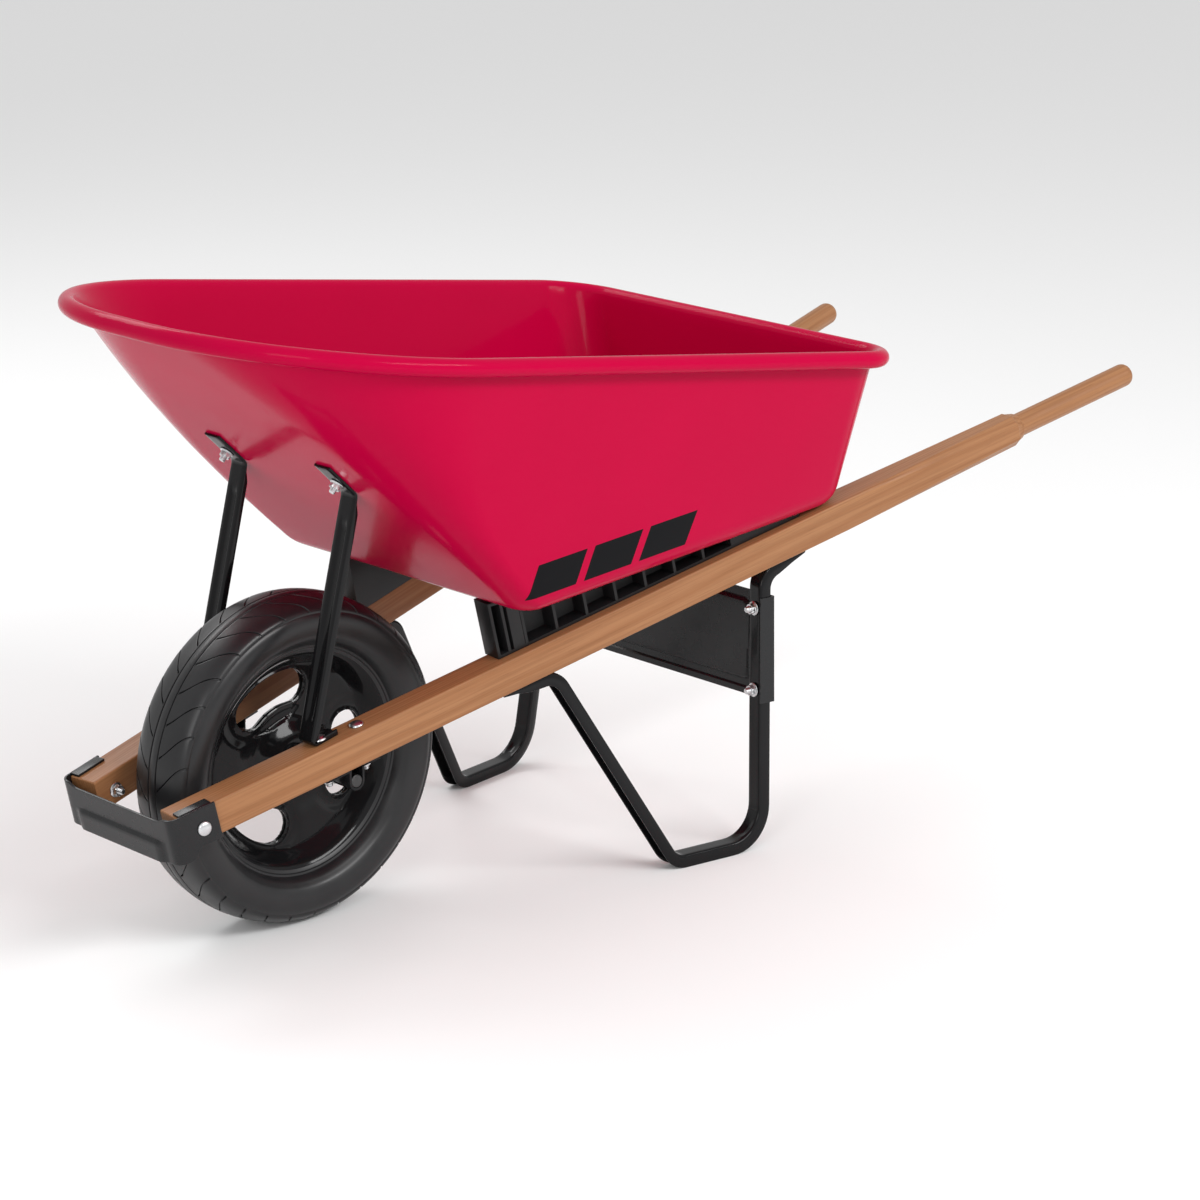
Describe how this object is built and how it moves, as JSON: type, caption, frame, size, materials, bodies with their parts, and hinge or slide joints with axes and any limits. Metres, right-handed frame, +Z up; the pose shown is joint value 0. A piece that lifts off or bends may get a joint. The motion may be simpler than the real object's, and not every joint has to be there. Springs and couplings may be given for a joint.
{
  "type": "wheelbarrow",
  "caption": "Single-wheel wheelbarrow with a deep sheet-metal tray bolted to long timber handles, steel legs, a nose guard and a broad flat-free tyre on a turning wheel.",
  "frame": {"origin": "centre of the overall box, at ground level under the wheel and the feet", "axes": "+X runs rearward from the wheel towards the grips, +Y points to the right-hand side for a person who walks behind the barrow, +Z up"},
  "size_m": [1.497, 0.626, 0.771],
  "materials": {
    "tray_paint": "gloss crimson paint",
    "timber": "warm tan hardwood under a thin clear coat",
    "satin_steel": "satin charcoal paint",
    "black_steel": "gloss black paint",
    "moulding": "matt black moulded plastic",
    "bright_steel": "turned steel",
    "zinc": "bright zinc plate",
    "rim_paint": "gloss black paint",
    "tyre_rubber": "matt black rubber"
  },
  "bodies": {
    "frame": {"tray": "tray_paint", "handle_right": "timber", "handle_left": "timber", "nose_guard": "satin_steel", "leg_brace_panel": "satin_steel", "riser_right": "moulding", "riser_left": "moulding", "leg_right": "black_steel", "leg_left": "black_steel", "tray_brace_right": "black_steel", "tray_brace_left": "black_steel", "axle_bracket_right": "black_steel", "axle_bracket_left": "black_steel", "axle": "bright_steel", "axle_spacer_right": "bright_steel", "axle_spacer_left": "bright_steel", "guard_bolt_right": "zinc", "guard_bolt_left": "zinc", "guard_nut_right": "zinc", "guard_nut_left": "zinc", "axle_bolt_front_right": "zinc", "axle_bolt_front_left": "zinc", "axle_nut_front_right": "zinc", "axle_nut_front_left": "zinc", "axle_bolt_rear_right": "zinc", "axle_bolt_rear_left": "zinc", "axle_nut_rear_right": "zinc", "axle_nut_rear_left": "zinc", "tray_bolt_front_right": "zinc", "tray_bolt_front_left": "zinc", "tray_nut_front_right": "zinc", "tray_nut_front_left": "zinc", "tray_bolt_rear_right": "zinc", "tray_bolt_rear_left": "zinc", "tray_nut_rear_right": "zinc", "tray_nut_rear_left": "zinc", "tray_brace_bolt_right": "zinc", "tray_brace_bolt_left": "zinc", "tray_brace_nut_right": "zinc", "tray_brace_nut_left": "zinc", "panel_bolt_lower_right": "zinc", "panel_bolt_lower_left": "zinc", "panel_nut_lower_right": "zinc", "panel_nut_lower_left": "zinc", "panel_bolt_upper_right": "zinc", "panel_bolt_upper_left": "zinc", "panel_nut_upper_right": "zinc", "panel_nut_upper_left": "zinc"},
    "wheel": {"tyre": "tyre_rubber", "rim_right": "rim_paint", "rim_left": "rim_paint", "hub": "rim_paint", "wheel_bearing_right": "bright_steel", "wheel_bearing_left": "bright_steel"}
  },
  "joints": [
    {"name": "wheel_spin", "type": "hinge", "parent": "frame", "child": "wheel", "pos_m": [-0.4915, 0, 0.2032], "axis": [0, 1, 0], "continuous": true}
  ]
}
